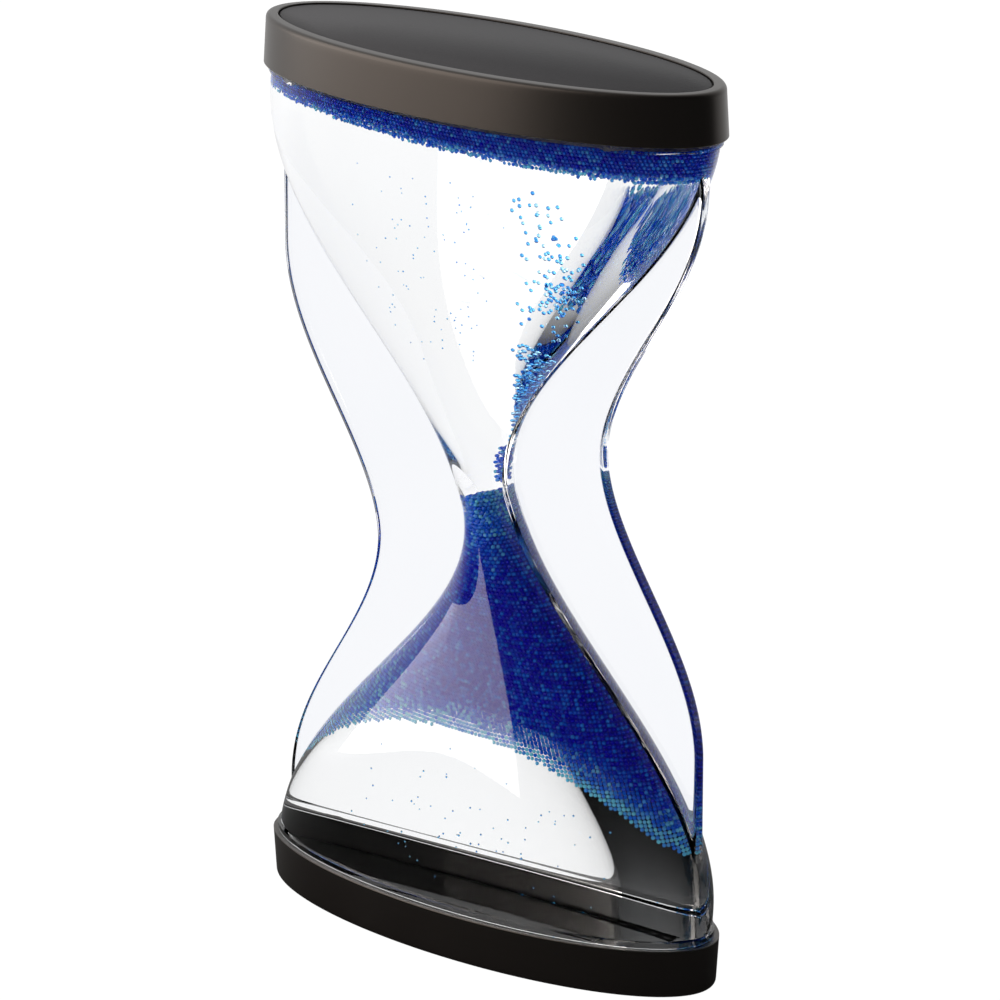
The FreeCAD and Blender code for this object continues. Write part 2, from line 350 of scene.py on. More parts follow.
vinyl = grained_vinyl()
for pad_name, is_top in (("bottom_pad", False), ("top_pad", True)):
    inset = pad_margin + pad_gap
    surface = pad_recess - pad_thickness
    rings = []
    for extra, z in ((0.0, pad_recess), (0.0, surface + pad_edge), (pad_edge, surface)):
        level = total_height - z if is_top else z
        rings.append(oval(cap_half_width - inset - extra, cap_half_depth - inset - extra, level))
    mesh = skin_rings(pad_name + "_sheet", rings)
    if not is_top:
        mesh.flip_normals()
    pad = finish_piece(pad_name + "_sheet", mesh, [vinyl], smooth_angle=50)
    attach(pad, "timer")
    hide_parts(pad_name)


# ---------------------------------------------------------------------------------------------
# The vessel: clear polystyrene, moulded in one piece round two cores that meet at the neck, with
# a fin down each side on the parting line. It is polished, so only its edges and bends show.
# ---------------------------------------------------------------------------------------------
vessel_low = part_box("vessel")[0]
spigot_bottom = vessel_low[2]
flange_height = 1.2 * MM
flange_inset = 0.8 * MM
flange_ledge = 0.5 * MM
flange_break = 0.1 * MM
spigot_inset = 1.75 * MM
spigot_wall = 1.4 * MM
flange_top = cap_height + flange_height
body_half_height = middle - flange_top
flange_half_width = cap_half_width - flange_inset
flange_half_depth = cap_half_depth - flange_inset
spigot_half_width = cap_half_width - spigot_inset
spigot_half_depth = cap_half_depth - spigot_inset
mouth_half_width = spigot_half_width - spigot_wall
mouth_half_depth = spigot_half_depth - spigot_wall
neck_half_width = 3.9 * MM
neck_half_depth = 5.8 * MM
neck_wall = 1.3 * MM
flank_power = 0.92
lean = 4.1 * MM
lean_power = 0.85
fin_thickness = 2.2 * MM
fin_inset = 2.3 * MM
fin_half_width = cap_half_width - fin_inset
fin_waist_half_width = 23.0 * MM
fin_waist_offset = 11.4 * MM
fin_flank_length = 46.0 * MM
fin_edge_radius = 0.5 * MM
fin_least_width = 0.05 * MM
fin_round_steps = 4
fin_face_steps = 5
fin_points = 2 + (fin_round_steps + 1) + fin_face_steps
body_levels = 200
plastic_ior = 1.50
liquid_ior = 1.385


def flank(share):
    """Rise of a side from 0 at the waist to 1 at the full width."""
    return math.sin(math.pi / 2 * min(share, 1.0) ** flank_power) ** 2


def lean_at(z):
    """Sideways shift of the chamber."""
    share = min(abs(z - middle) / body_half_height, 1.0)
    shift = lean * math.sin(math.pi * share ** lean_power)
    return -shift if z > middle else shift


def outer_size(z):
    """Half width and half depth of the outside of the chamber."""
    rise = flank(abs(z - middle) / body_half_height)
    return (neck_half_width + (flange_half_width - flange_ledge - neck_half_width) * rise,
            neck_half_depth + (flange_half_depth - flange_ledge - neck_half_depth) * rise)


def inner_size(z):
    """Half width and half depth of the space inside the chamber."""
    rise = flank(abs(z - middle) / body_half_height)
    return (neck_half_width - neck_wall + (mouth_half_width - neck_half_width + neck_wall) * rise,
            neck_half_depth - neck_wall + (mouth_half_depth - neck_half_depth + neck_wall) * rise)


def fin_edge(z):
    """Half width of the right-hand fin, whose waist is above the middle."""
    distance = abs(z - middle - fin_waist_offset)
    return fin_waist_half_width + (fin_half_width - fin_waist_half_width) * flank(distance / fin_flank_length)


def side_points(centre, half_width, half_depth, tip):
    """Quarter outline from the tip of a fin to its root on the chamber, for the +X +Y side."""
    half = fin_thickness / 2
    root_turn = math.asin(half / half_depth)
    root = centre + half_width * math.cos(root_turn)
    if tip < centre + half_width + fin_least_width:
        turns = [root_turn * i / (fin_points - 1) for i in range(fin_points)]
        return [(centre + half_width * math.cos(t), half_depth * math.sin(t)) for t in turns], root_turn
    r = fin_edge_radius
    points = [(tip, 0.0), (tip, (half - r) / 2)]
    for step in range(fin_round_steps + 1):
        turn = math.pi / 2 * step / fin_round_steps
        points.append((tip - r + r * math.cos(turn), half - r + r * math.sin(turn)))
    span = max(points[-1][0] - root, 0.0)
    for step in range(1, fin_face_steps + 1):
        points.append((root + span * (1 - step / fin_face_steps), half))
    return points, root_turn


def vessel_outline(z, arc_steps=40):
    """Level outline of the chamber with its fins, anticlockwise from the tip of the right fin."""
    half_width, half_depth = outer_size(z)
    centre = lean_at(z)
    right_side, right_turn = side_points(centre, half_width, half_depth, fin_edge(z))
    left_side, left_turn = side_points(-centre, half_width, half_depth, fin_edge(2 * middle - z))
    back = list(right_side)
    for step in range(1, arc_steps):
        turn = right_turn + (math.pi - left_turn - right_turn) * step / arc_steps
        back.append((centre + half_width * math.cos(turn), half_depth * math.sin(turn)))
    back += [(-x, y) for x, y in reversed(left_side)]
    front = [(x, -y) for x, y in reversed(back[1:-1])]
    return [Vector((x, y, z)) for x, y in back + front]


def clear_styrene(name, ior, tint, clearer_tint):
    """Polished clear polystyrene: colourless, with a faint cool grey tint, which on the fins is painted shade
    for the grey seen where one looks along them.
    """
    made, tree, shader = new_material(name)
    place = add(tree, "ShaderNodeTexCoord")
    flow = add(tree, "ShaderNodeTexNoise", {"Scale": 1 / (30 * MM), "Detail": 1.0},
               {"Vector": place.outputs["Object"]})
    tone = add(tree, "ShaderNodeMix",
               {"data_type": "RGBA", COLOUR_A: linear(tint), COLOUR_B: linear(clearer_tint)},
               {0: flow.outputs["Fac"]})
    shader.inputs["IOR"].default_value = ior
    shader.inputs["Roughness"].default_value = 0.0
    shader.inputs["Transmission Weight"].default_value = 1.0
    tree.links.new(tone.outputs[COLOUR_OUT], shader.inputs["Base Color"])
    return made


count = len(vessel_outline(middle))
levels = [flange_top + 2 * body_half_height * i / body_levels for i in range(body_levels + 1)]
rings = [oval(spigot_half_width, spigot_half_depth, spigot_bottom, count),
         oval(spigot_half_width, spigot_half_depth, cap_height, count),
         oval(flange_half_width, flange_half_depth, cap_height, count),
         oval(flange_half_width, flange_half_depth, flange_top - flange_break, count)]
rings += [vessel_outline(z) for z in levels]
rings += [oval(flange_half_width, flange_half_depth, total_height - flange_top + flange_break, count),
          oval(flange_half_width, flange_half_depth, total_height - cap_height, count),
          oval(spigot_half_width, spigot_half_depth, total_height - cap_height, count),
          oval(spigot_half_width, spigot_half_depth, total_height - spigot_bottom, count)]
outer_skin = skin_rings("vessel_outer", rings)

end_skin = 0.05 * MM


def cavity_rings(inset):
    """Loops of the space inside the vessel, drawn in by an inset."""
    low = spigot_bottom + end_skin + inset
    loops = [oval(mouth_half_width - inset, mouth_half_depth - inset, low)]
    for z in levels:
        half_width, half_depth = inner_size(z)
        loops.append(oval(half_width - inset, half_depth - inset, z, oval_steps, lean_at(z)))
    loops.append(oval(mouth_half_width - inset, mouth_half_depth - inset, total_height - low))
    return loops


inner_skin = skin_rings("vessel_inner", cavity_rings(0.0))
inner_skin.flip_normals()
# The chamber is the clearest part. The fins get a greyer copy of the same plastic, painted shade for the grey
# they show, and on the wetted side light meets liquid, not air, so that side bends it far less.
clear_wall = clear_styrene("clear_polystyrene", plastic_ior, "fcfdfe", "ffffff")
wetted_wall = clear_styrene("clear_polystyrene_wetted_side", plastic_ior / liquid_ior, "fcfdfe", "ffffff")
# Same plastic with a greyer tint: painted shade on the fins.
fin_wall_painted_shade = clear_styrene("clear_polystyrene_fin_painted_shade", plastic_ior, "f5f7fb", "f9fafd")
wetted_slot = 1
fin_slot = 2
joined = bmesh.new()
joined.from_mesh(outer_skin)
outer_faces = len(joined.faces)
joined.from_mesh(inner_skin)
joined.faces.ensure_lookup_table()
for face in joined.faces[:outer_faces]:
    centre = face.calc_center_median()
    if abs(centre.y) < fin_thickness / 2 and flange_top < centre.z < total_height - flange_top:
        face.material_index = fin_slot
for face in joined.faces[outer_faces:]:
    face.material_index = wetted_slot
vessel_mesh = bpy.data.meshes.new("clear_vessel")
joined.to_mesh(vessel_mesh)
joined.free()
vessel = finish_piece("clear_vessel", vessel_mesh, [clear_wall, wetted_wall, fin_wall_painted_shade],
                      smooth_angle=30)
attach(vessel, "timer")
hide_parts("vessel")


# ---------------------------------------------------------------------------------------------
# The closure plates and the filling plug: clear plates welded over the mouths of the vessel, the
# lower one with a soft tapered plug in its filling hole. The end caps hide their edges.
# ---------------------------------------------------------------------------------------------
plate_styrene = clear_styrene("clear_polystyrene_plate", plastic_ior, "eef1f3", "f6f8fa")


def soft_stopper():
    """Milky silicone rubber, slightly translucent and dull."""
    made, tree, shader = new_material("silicone_stopper")
    place = add(tree, "ShaderNodeTexCoord")
    mottle = add(tree, "ShaderNodeTexNoise", {"Scale": 1 / (1.5 * MM)}, {"Vector": place.outputs["Object"]})
    tone = add(tree, "ShaderNodeMix",
               {"data_type": "RGBA", COLOUR_A: linear("c9c8c2"), COLOUR_B: linear("e2e1dc")},
               {0: mottle.outputs["Fac"]})
    shader.inputs["IOR"].default_value = 1.41
    shader.inputs["Roughness"].default_value = 0.45
    shader.inputs["Subsurface Weight"].default_value = 0.2
    shader.inputs["Subsurface Scale"].default_value = 1 * MM
    tree.links.new(tone.outputs[COLOUR_OUT], shader.inputs["Base Color"])
    return made


def dress(node, made):
    """Gives a CAD node a real material."""
    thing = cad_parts[node]
    thing.data.materials.clear()
    thing.data.materials.append(made)


dress("lower_closure_plate", plate_styrene)
dress("upper_closure_plate", plate_styrene)
dress("fill_plug", soft_stopper())


# ---------------------------------------------------------------------------------------------
# The liquid: a clear, slightly heavy filling that the beads float up through. It wets the whole
# inside, so its own surface hardly shows.
# ---------------------------------------------------------------------------------------------
liquid_inset = 0.03 * MM


def clear_filling():
    """Clear filling liquid; the step in refraction is on the wetted side of the vessel."""
    made, tree, shader = new_material("clear_filling_liquid")
    place = add(tree, "ShaderNodeTexCoord")
    swirl = add(tree, "ShaderNodeTexNoise", {"Scale": 1 / (25 * MM)}, {"Vector": place.outputs["Object"]})
    tone = add(tree, "ShaderNodeMix",
               {"data_type": "RGBA", COLOUR_A: linear("fcfdff"), COLOUR_B: linear("ffffff")},
               {0: swirl.outputs["Fac"]})
    shader.inputs["IOR"].default_value = 1.0
    shader.inputs["Roughness"].default_value = 0.0
    shader.inputs["Transmission Weight"].default_value = 1.0
    shader.inputs["Alpha"].default_value = 0.04
    tree.links.new(tone.outputs[COLOUR_OUT], shader.inputs["Base Color"])
    return made


liquid_mesh = skin_rings("filling_liquid", cavity_rings(liquid_inset))
liquid = finish_piece("filling_liquid", liquid_mesh, [clear_filling()], smooth_angle=30)
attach(liquid, "timer")
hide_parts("liquid")


# ---------------------------------------------------------------------------------------------
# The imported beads: blue-dyed polymer balls about 0.65 mm across, lighter than the liquid. Each bed
# is a deep blue heart, where no light gets through, with single beads on its walls and underside.
# ---------------------------------------------------------------------------------------------
bead_radius = 0.325 * MM
upper_depth_left = 3.6 * MM
upper_depth_right = 6.6 * MM
arch_left_z = cap_height + 1.0 * MM
arch_right_z = cap_height + 9.0 * MM
arch_crown_z = cap_height + 28.5 * MM
arch_crown_x = 3.0 * MM
neck_fill_left = -0.5 * MM
neck_fill_right = 2.5 * MM
heart_inset = 0.75 * MM
lower_layer_rise = 1.6 * MM
upper_layer_rise = 0.8 * MM

# How the beads pack, in bead radii, and how far each one's colour strays from its neighbours', partly as
# uneven dye and partly as painted glints.
row_pitch = 2.05
row_rise = 0.87
wall_distance = 1.05
layer_pitch = 1.7
row_wobble = 0.08
ragged_below = 1.0
ragged_above = 0.2
fringe_gap = 1.9
packed_gap = 1.75
paler_dye_and_glint = 0.55
deeper_dye = 0.2
walk_steps = 10


def arch_circle():
    """Centre and radius of the circle through the ends and the crown of the arched underside."""
    ax, az = -cap_half_width, arch_left_z
    bx, bz = arch_crown_x, arch_crown_z
    cx, cz = cap_half_width, arch_right_z
    d = 2 * (ax * (bz - cz) + bx * (cz - az) + cx * (az - bz))
    a2, b2, c2 = ax * ax + az * az, bx * bx + bz * bz, cx * cx + cz * cz
    ox = (a2 * (bz - cz) + b2 * (cz - az) + c2 * (az - bz)) / d
    oz = (a2 * (cx - bx) + b2 * (ax - cx) + c2 * (bx - ax)) / d
    return ox, oz, math.hypot(ax - ox, az - oz)


arch_x, arch_z, arch_radius = arch_circle()


def lower_bed_floor(x):
    """Height of the arched underside of the lower bed."""
    return arch_z + math.sqrt(max(arch_radius ** 2 - (x - arch_x) ** 2, 0.0))


def lower_bed_top(x):
    """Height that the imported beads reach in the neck."""
    share = (x / neck_half_width + 1) / 2
    return middle + neck_fill_left + (neck_fill_right - neck_fill_left) * min(max(share, 0.0), 1.0)


def upper_bed_floor(x):
    """Height of the underside of the upper bed."""
    share = (x / cap_half_width + 1) / 2
    return total_height - cap_height - upper_depth_left - (upper_depth_right - upper_depth_left) * share


def in_lower_bed(x, z, layer):
    """Whether a place in a layer counted from the wall belongs to the lower bed."""
    return lower_bed_floor(x) + lower_layer_rise * layer < z < lower_bed_top(x)


def in_upper_bed(x, z, layer):
    """Whether a place in a layer counted from the wall belongs to the upper bed."""
    return z > upper_bed_floor(x) + upper_layer_rise * layer


def space_at(z):
    """Centre, half width and half depth of the space that holds the beads."""
    if abs(z - middle) >= body_half_height:
        return 0.0, mouth_half_width, mouth_half_depth
    half_width, half_depth = inner_size(z)
    return lean_at(z), half_width, half_depth


def bead_group(name, centres, subdivisions, made, brightness, seed, radius=bead_radius, spread=0.06):
    """One piece made of many little spheres, each with its own size and colour value; the value carries
    painted light and painted glints as well as uneven dye.
    """
    ball = bmesh.new()
    bmesh.ops.create_icosphere(ball, subdivisions=subdivisions, radius=1.0)
    ball.verts.ensure_lookup_table()
    corners = [v.co.copy() for v in ball.verts]
    sides = [tuple(v.index for v in f.verts) for f in ball.faces]
    ball.free()
    picker = random.Random(seed)
    points, faces, shades = [], [], []
    for centre in centres:
        size = radius * (1 + picker.uniform(-spread, spread))
        # The bed's painted light at the bead's place, plus a random spread: partly uneven dye, partly painted
        # glints.
        shade = brightness(centre) + paler_dye_and_glint * picker.random() ** 2 - deeper_dye * picker.random()
        base = len(points)
        points += [centre + corner * size for corner in corners]
        faces += [tuple(base + i for i in side) for side in sides]
        shades += [min(max(shade, 0.0), 1.0)] * len(corners)
    mesh = bpy.data.meshes.new(name)
    mesh.from_pydata(points, [], faces)
    mesh.attributes.new("bead_tone_and_painted_light", "FLOAT", "POINT").data.foreach_set("value", shades)
    mesh.materials.append(made)
    mesh.polygons.foreach_set("use_smooth", [True] * len(mesh.polygons))
    piece = bpy.data.objects.new(name, mesh)
    scene.collection.objects.link(piece)
    return piece


def steps_round(half_width, half_depth, pitch, offset):
    """Turns from the front at which equal steps along an ellipse fall, going both ways."""
    turns = []
    for way, wanted in ((1, offset), (-1, pitch - offset)):
        turn, gone = 0.0, 0.0
        while turn < math.pi:
            if gone >= wanted:
                turns.append(way * turn)
                wanted += pitch
            rate = math.hypot(half_width * math.cos(turn), half_depth * math.sin(turn))
            turn += pitch / (walk_steps * rate)
            gone += pitch / walk_steps
    return turns


def wall_beads(inside_bed, z_low, z_high, seed, layer=0):
    """Beads in staggered rows against the inside wall, one layer, wherever a bed covers it."""
    picker = random.Random(seed)
    pitch = row_pitch * bead_radius
    depth = bead_radius * (wall_distance + layer_pitch * layer)
    centres = []
    for row in range(int((z_high - z_low) / (row_rise * pitch)) + 1):
        z = z_low + row * row_rise * pitch
        centre, half_width, half_depth = space_at(z)
        w, d = half_width - depth, half_depth - depth
        for turn in steps_round(w, d, pitch, pitch * 0.5 * ((row + layer) % 2)):
            x = centre + w * math.sin(turn) + picker.uniform(-row_wobble, row_wobble) * bead_radius
            y = -d * math.cos(turn)
            height = z + picker.uniform(-row_wobble, row_wobble) * bead_radius
            edge = picker.uniform(-ragged_below, ragged_above) * bead_radius
            if inside_bed(x, height + edge, layer):
                centres.append(Vector((x, y, height)))
    return centres


def fringe_beads(underside, z_span, thickness, seed, tries):
    """Loose beads through the whole depth of a bed's underside, fewer towards its edge."""
    picker = random.Random(seed)
    cell = fringe_gap * bead_radius
    taken = {}
    centres = []
    for _ in range(tries):
        z = picker.uniform(*z_span)
        centre, half_width, half_depth = space_at(z)
        w, d = half_width - bead_radius * wall_distance, half_depth - bead_radius * wall_distance
        y = picker.uniform(-d, d)
        reach = w * math.sqrt(max(1 - (y / d) ** 2, 0.0))
        x = centre + picker.uniform(-reach, reach)
        rise = (z - underside(x)) / thickness
        if not 0 < rise < 1 or picker.random() > rise + fringe_edge_share:
            continue
        key = (int(x // cell), int(y // cell), int(z // cell))
        close = (taken.get((key[0] + i, key[1] + j, key[2] + k))
                 for i in (-1, 0, 1) for j in (-1, 0, 1) for k in (-1, 0, 1))
        spot = Vector((x, y, z))
        if key in taken or any(o is not None and (o - spot).length < cell for o in close):
            continue
        taken[key] = spot
        centres.append(spot)
    return centres


def polymer_bead(name, deep, blue, pale, clearness, ior):
    """Clear blue polymer beads coloured from deep blue to cyan by a value on each bead, which holds painted
    light where light comes through a bed and painted glints as well as uneven dye.
    """
    made, tree, shader = new_material(name)
    dye = add(tree, "ShaderNodeAttribute", {"attribute_name": "bead_tone_and_painted_light"})
    lower = add(tree, "ShaderNodeMapRange", {"From Max": 0.45}, {"Value": dye.outputs["Fac"]})
    upper = add(tree, "ShaderNodeMapRange", {"From Min": 0.45, "From Max": 0.9},
                {"Value": dye.outputs["Fac"]})
    dark_half = add(tree, "ShaderNodeMix",
                    {"data_type": "RGBA", COLOUR_A: linear(deep), COLOUR_B: linear(blue)},
                    {0: lower.outputs["Result"]})
    tone = add(tree, "ShaderNodeMix", {"data_type": "RGBA", COLOUR_B: linear(pale)},
               {0: upper.outputs["Result"], COLOUR_A: dark_half.outputs[COLOUR_OUT]})
    shader.inputs["IOR"].default_value = ior
    shader.inputs["Roughness"].default_value = 0.0
    shader.inputs["Transmission Weight"].default_value = clearness
    tree.links.new(tone.outputs[COLOUR_OUT], shader.inputs["Base Color"])
    return made


def bead_heart():
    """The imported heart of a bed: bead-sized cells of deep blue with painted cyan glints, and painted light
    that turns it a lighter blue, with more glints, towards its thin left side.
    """
    made, tree, shader = new_material("packed_blue_beads")
    place = add(tree, "ShaderNodeTexCoord")
    cells = add(tree, "ShaderNodeTexVoronoi", {"Scale": 1 / (0.62 * MM)}, {"Vector": place.outputs["Object"]})
    dot = add(tree, "ShaderNodeMapRange", {"From Min": 0.15, "From Max": 0.5, "To Min": 1.0, "To Max": 0.0},
              {"Value": cells.outputs["Distance"]})
    lively = add(tree, "ShaderNodeMapRange", {"From Min": 0.45, "From Max": 0.8},
                 {"Value": cells.outputs["Color"]})
    across = add(tree, "ShaderNodeSeparateXYZ", {}, {"Vector": place.outputs["Object"]})
    # Painted shade: darker blue towards the thicker right, where less light gets through.
    shaded_rightward = add(tree, "ShaderNodeMapRange", {"From Min": -12 * MM, "From Max": 5 * MM},
                 {"Value": across.outputs["X"]})
    thin = add(tree, "ShaderNodeMapRange", {"To Min": 1.0, "To Max": 0.25},
               {"Value": shaded_rightward.outputs["Result"]})
    spark = add(tree, "ShaderNodeMath", {"operation": "MULTIPLY"},
                {0: dot.outputs["Result"], 1: lively.outputs["Result"]})
    glint = add(tree, "ShaderNodeMath", {"operation": "MULTIPLY"},
                {0: spark.outputs["Value"], 1: thin.outputs["Result"]})
    base = add(tree, "ShaderNodeMix",
               {"data_type": "RGBA", COLOUR_A: linear("0a50d8"), COLOUR_B: linear("000098")},
               {0: shaded_rightward.outputs["Result"]})
    tone = add(tree, "ShaderNodeMix", {"data_type": "RGBA", COLOUR_B: linear("30b8ff")},
               {0: glint.outputs["Value"], COLOUR_A: base.outputs[COLOUR_OUT]})
    relief = add(tree, "ShaderNodeBump", {"Strength": 1.0, "Distance": 0.25 * MM, "invert": True},
                 {"Height": cells.outputs["Distance"]})
    shader.inputs["IOR"].default_value = 1.2
    shader.inputs["Roughness"].default_value = 0.3
    tree.links.new(tone.outputs[COLOUR_OUT], shader.inputs["Base Color"])
    tree.links.new(relief.outputs["Normal"], shader.inputs["Normal"])
    return made


def bed_heart(name, outline, made):
    """Closed heart of a bed: the inside of the vessel, drawn in, cut to an outline in front view."""
    space = bpy.data.objects.new("space", skin_rings("space", cavity_rings(heart_inset)))
    scene.collection.objects.link(space)
    cutter_mesh = skin_rings("cutter", [[Vector((x, -cap_half_depth, z)) for x, z in outline],
                                        [Vector((x, cap_half_depth, z)) for x, z in outline]])
    fixer = bmesh.new()
    fixer.from_mesh(cutter_mesh)
    bmesh.ops.recalc_face_normals(fixer, faces=fixer.faces)
    fixer.to_mesh(cutter_mesh)
    fixer.free()
    cutter = bpy.data.objects.new("cutter", cutter_mesh)
    scene.collection.objects.link(cutter)
    cut = space.modifiers.new("cut", "BOOLEAN")
    cut.operation = "INTERSECT"
    cut.solver = "EXACT"
    cut.object = cutter
    bpy.context.view_layer.update()
    shape = bpy.data.meshes.new_from_object(space.evaluated_get(bpy.context.evaluated_depsgraph_get()))
    bpy.data.objects.remove(space)
    bpy.data.objects.remove(cutter)
    shape.name = name
    shape.materials.clear()
    return finish_piece(name, shape, [made])


packed_blue = polymer_bead("packed_blue_polymer_bead", "0000dc", "0a78ff", "78e4ff", 0.45, 1.40)
# The free beads get a paler copy of the same bead material: painted light, for the light that gets round each
# free bead.
free_blue_painted_light = polymer_bead("free_blue_polymer_bead", "1880e8", "70c8f4", "c8f0ff", 0.96, 1.40)
heart_blue = bead_heart()

fringe_thickness = 4.2 * MM
neck_heart_drop = 5.0 * MM
arch_steps = 32
arch = []
for step in range(arch_steps + 1):
    x = -cap_half_width + 2 * cap_half_width * step / arch_steps
    arch.append((x, lower_bed_floor(x) + fringe_thickness))
lower_outline = arch + [(cap_half_width, middle - neck_heart_drop),
                        (-cap_half_width, middle - neck_heart_drop)]
lower_heart = bed_heart("lower_bed_heart", lower_outline, heart_blue)
upper_heart_rise = 1.2 * MM
upper_outline = [(-cap_half_width, upper_bed_floor(-cap_half_width) + upper_heart_rise),
                 (cap_half_width, upper_bed_floor(cap_half_width) + upper_heart_rise),
                 (cap_half_width, total_height - flange_top), (-cap_half_width, total_height - flange_top)]
upper_heart = bed_heart("upper_bed_heart", upper_outline, heart_blue)

lower_wall = wall_beads(in_lower_bed, arch_left_z, middle + neck_fill_right, seed=11)
lower_second = wall_beads(in_lower_bed, arch_left_z, middle + neck_fill_right, seed=14, layer=1)

# The painted light on the bed beads, from 0 for deep blue to 1 for pale cyan: brighter where light comes
# through a bed, deep blue where none does.
underside_painted_light = 0.75
underside_fade = 0.5
neck_painted_light = 0.6
neck_painted_light_depth = 16 * MM
thin_side_painted_light = 0.5
thin_side_width = 22 * MM
bright_margin = 2 * MM
deepest_painted_shade = 0.02
upper_underside_painted_light = 0.6
upper_underside_fade = 0.4
upper_painted_shade = 0.16
upper_fringe_thickness = 1.6 * MM
fringe_edge_share = 0.25


def lower_bed_shade(centre):
    """Painted light: bright along the underside, in the neck and on the thin left side, where light comes
    through the bed, and painted shade, deep blue, elsewhere.
    """
    rise = (centre.z - lower_bed_floor(centre.x)) / fringe_thickness
    near_neck = 1 - (middle + bright_margin - centre.z) / neck_painted_light_depth
    left = (bright_margin - centre.x) / thin_side_width
    return max(underside_painted_light - underside_fade * rise, neck_painted_light * near_neck,
               thin_side_painted_light * min(left, 1.0), deepest_painted_shade)


def upper_bed_shade(centre):
    """Painted light: bright along the ragged underside, where light comes through, and blue above it."""
    rise = (centre.z - upper_bed_floor(centre.x)) / upper_fringe_thickness
    return max(upper_underside_painted_light - upper_underside_fade * rise, upper_painted_shade)


# The beads nearest the front are round enough to be seen one by one, the others a little coarser.
front_roundness = 2
back_roundness = 1
second_layer_overlap = 1 * MM
lower_front = bead_group("lower_bed_front_beads", [c for c in lower_wall if c.y < 0], front_roundness,
                         packed_blue, lower_bed_shade, seed=2)
lower_back = bead_group("lower_bed_back_beads", [c for c in lower_wall if c.y >= 0], back_roundness,
                        packed_blue, lower_bed_shade, seed=3)
lower_edge = [c for c in lower_second
              if c.z < lower_bed_floor(c.x) + fringe_thickness + second_layer_overlap]
lower_inner = bead_group("lower_bed_second_beads", lower_edge, back_roundness,
                         packed_blue, lower_bed_shade, seed=5)
upper_wall = wall_beads(in_upper_bed, total_height - cap_height - upper_depth_right,
                        total_height - flange_top - 0.5 * bead_radius, seed=12)
upper_rim = bead_group("upper_bed_wall_beads", upper_wall, back_roundness,
                       packed_blue, upper_bed_shade, seed=4)


def packed_place(picker):
    """A random place in the neck, or none where it is above the beads."""
    z = middle + picker.uniform(-neck_heart_drop / MM, neck_fill_right / MM) * MM
    centre, half_width, half_depth = space_at(z)
    y = picker.uniform(-1, 1) * (half_depth - bead_radius)
    reach = (half_width - bead_radius) * math.sqrt(max(1 - (y / (half_depth - bead_radius)) ** 2, 0.0))
    x = centre + picker.uniform(-1, 1) * reach
    if z > lower_bed_top(x):
        return None
    return Vector((x, y, z))


def packed_beads(place, seed, tries):
    """Bead centres thrown in at random until the space is about full."""
    picker = random.Random(seed)
    gap = packed_gap * bead_radius
    taken = {}
    centres = []
    for _ in range(tries):
        spot = place(picker)
        if spot is None:
            continue
        key = tuple(int(c // gap) for c in spot)
        near = [taken.get((key[0] + i, key[1] + j, key[2] + k))
                for i in (-1, 0, 1) for j in (-1, 0, 1) for k in (-1, 0, 1)]
        if all(other is None or (other - spot).length > gap for other in near):
            taken[key] = spot
            centres.append(spot)
    return centres


neck_pack = packed_beads(packed_place, seed=23, tries=30000)
lower_neck = bead_group("lower_bed_neck_beads", neck_pack, front_roundness,
                        packed_blue, lower_bed_shade, seed=15)
upper_span = (total_height - cap_height - upper_depth_right, total_height - cap_height)
upper_under = fringe_beads(upper_bed_floor, upper_span, upper_fringe_thickness, seed=22, tries=120000)
upper_fringe = bead_group("upper_bed_fringe_beads", upper_under, back_roundness,
                          packed_blue, upper_bed_shade, seed=6)

for piece in (lower_heart, lower_front, lower_back, lower_inner, lower_neck):
    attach(piece, "timer")
    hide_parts("lower_bead_bed")
for piece in (upper_heart, upper_rim, upper_fringe):
    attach(piece, "timer")
    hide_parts("upper_bead_bed")


# ---------------------------------------------------------------------------------------------
# The beads on their way, of the same dyed polymer: a tight column out of the neck, a cluster that
# moves as one, and single beads high in the upper chamber. Smaller beads that hardly rise are left
# floating in both chambers.
# ---------------------------------------------------------------------------------------------
stream_back = 2.2 * MM
stream_wall_distance = 1.3 * MM
stream_slope = 0.34
stream_foot_z = middle + 10.0 * MM
most_misses = 4000

# Ranges in millimetres: heights above the neck, and distances from the right-hand wall.
column_rise = (2.6, 8.8)
column_from_wall = (0.6, 2.6)
column_back = (0.1, 0.75)
column_dye = 0.45
cluster_length = 18
cluster_least_rise = 0.5
cluster_usual_rise = 9.5
cluster_rise_spread = 3.2
cluster_tight_share = 0.75
cluster_foot_radius = 0.7 * MM
cluster_flare = 0.09
high_usual_rise = 39
high_rise_spread = 3.2
high_rise = (27, 54)
high_tight_share = 0.5
high_bow_rise = 41
high_bow = 0.035
high_across = 17.5
high_across_spread = 2.3
high_back = (-5.5, -2.4)
free_dye = 0.35
stray_radius = 0.13 * MM
drifting_radius = 0.15 * MM
small_spread = 0.2


def scattered(seed, count_wanted, place):
    """Bead centres at random places that don't overlap."""
    picker = random.Random(seed)
    gap = fringe_gap * bead_radius
    centres = []
    misses = 0
    while len(centres) < count_wanted and misses < most_misses:
        spot = place(picker)
        if all((spot - other).length > gap for other in centres):
            centres.append(spot)
            misses = 0
        else:
            misses += 1
    return centres


def right_wall(z, y):
    """Right-hand limit of the space at a height and a distance from the middle plane."""
    centre, half_width, half_depth = space_at(z)
    return centre + half_width * math.sqrt(1 - (y / half_depth) ** 2)


stream_foot_x = right_wall(stream_foot_z, stream_back) - stream_wall_distance


def column_place(picker):
    """A place in the column that leaves the neck, near its right-hand wall."""
    z = middle + picker.uniform(*column_rise) * MM
    y = picker.uniform(*column_back) * inner_size(z)[1]
    return Vector((right_wall(z, y) - picker.uniform(*column_from_wall) * MM, y, z))


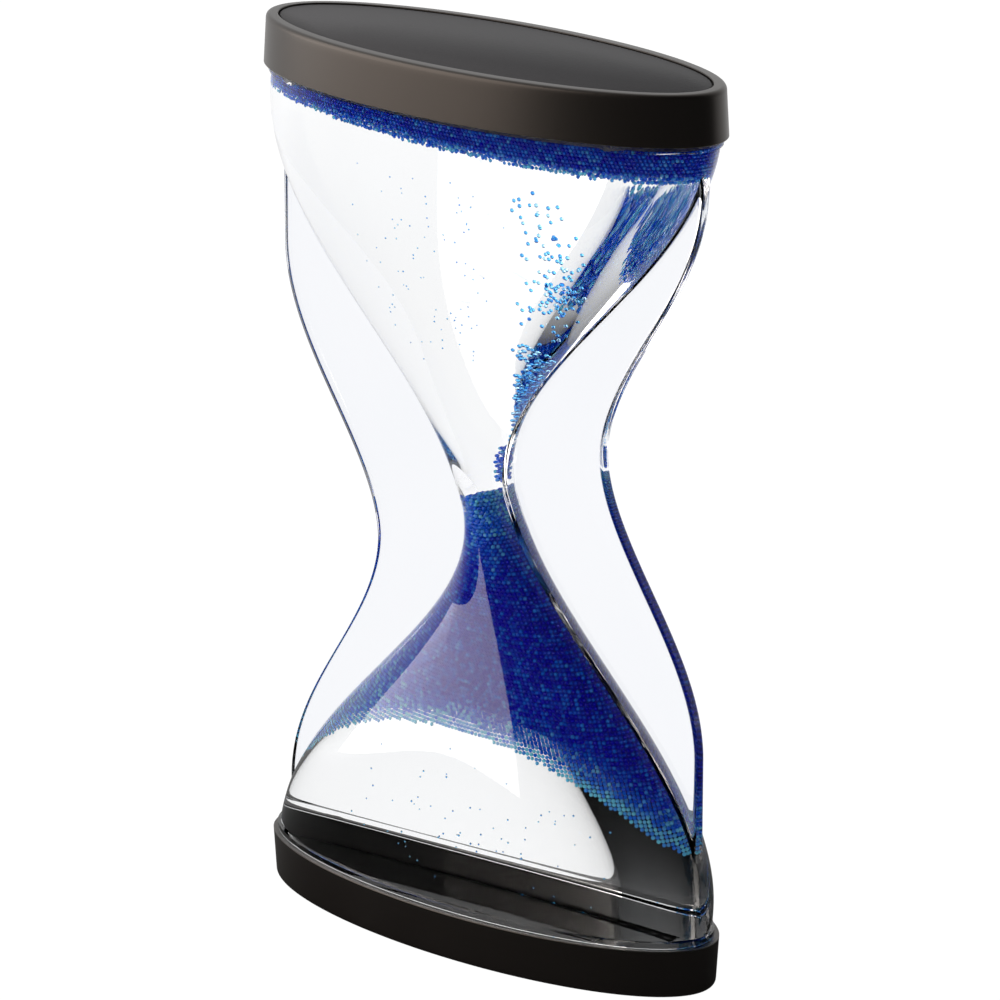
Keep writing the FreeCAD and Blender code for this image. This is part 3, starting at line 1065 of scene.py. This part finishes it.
def cluster_place(picker):
    """A place in the slanting cluster that rises, which widens upwards and is densest half way."""
    if picker.random() < cluster_tight_share:
        rise = picker.gauss(cluster_usual_rise, cluster_rise_spread)
        rise = min(max(rise, cluster_least_rise), cluster_length) * MM
    else:
        rise = picker.uniform(0, cluster_length) * MM
    radius = cluster_foot_radius + cluster_flare * rise
    spread = radius * math.sqrt(picker.random())
    angle = picker.uniform(0, 2 * math.pi)
    return Vector((stream_foot_x + stream_slope * rise + spread * math.cos(angle),
                   stream_back + spread * math.sin(angle), stream_foot_z + rise))


def high_place(picker):
    """A place among the single beads high up, which follow a slight bow."""
    if picker.random() < high_tight_share:
        height = picker.gauss(high_usual_rise, high_rise_spread)
    else:
        height = picker.uniform(*high_rise)
    across = high_across - high_bow * (height - high_bow_rise) ** 2 + picker.gauss(0, high_across_spread)
    return Vector((across * MM, picker.uniform(*high_back) * MM, middle + height * MM))


def stray_place(picker):
    """A place in the front half of the upper chamber, mostly on its left."""
    z = middle + body_half_height * picker.uniform(0.35, 0.85)
    centre, half_width, half_depth = space_at(z)
    y = -picker.uniform(0.3, 0.85) * half_depth
    across = picker.uniform(-0.6, 0.4) * half_width * math.sqrt(1 - (y / half_depth) ** 2)
    return Vector((centre + across, y, z))


def low_place(picker):
    """A place in the clear liquid at the bottom of the lower chamber."""
    z = cap_height + picker.uniform(1.5, 20) * MM
    centre, half_width, half_depth = space_at(z)
    y = picker.uniform(-0.8, 0.8) * half_depth
    across = picker.uniform(-0.6, 0.6) * half_width * math.sqrt(1 - (y / half_depth) ** 2)
    return Vector((centre + across, y, z))


def column_shade(centre):
    """The column has one dye all over."""
    return column_dye


def free_shade(centre):
    """So have the free beads; their paler colours are painted light, for the light that gets round each of
    them.
    """
    return free_dye


column = bead_group("neck_column_beads", scattered(31, 170, column_place), front_roundness,
                    packed_blue, column_shade, seed=7)
rising = bead_group("rising_cluster_beads", scattered(32, 150, cluster_place), front_roundness,
                    free_blue_painted_light, free_shade, seed=8)
high = bead_group("high_free_beads", scattered(33, 150, high_place), front_roundness,
                  free_blue_painted_light, free_shade, seed=9)
stray = bead_group("stray_small_beads", scattered(34, 90, stray_place), front_roundness,
                   free_blue_painted_light, free_shade, seed=10, radius=stray_radius, spread=small_spread)
drifting = bead_group("drifting_small_beads", scattered(35, 70, low_place), front_roundness,
                      free_blue_painted_light, free_shade, seed=13, radius=drifting_radius, spread=small_spread)
for piece, body, node in ((column, "timer", "neck_beads"), (rising, "rising", "rising_beads"),
                          (high, "timer", "loose_beads"), (stray, "timer", "loose_beads"),
                          (drifting, "timer", "drifting_beads")):
    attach(piece, body)
    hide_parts(node)
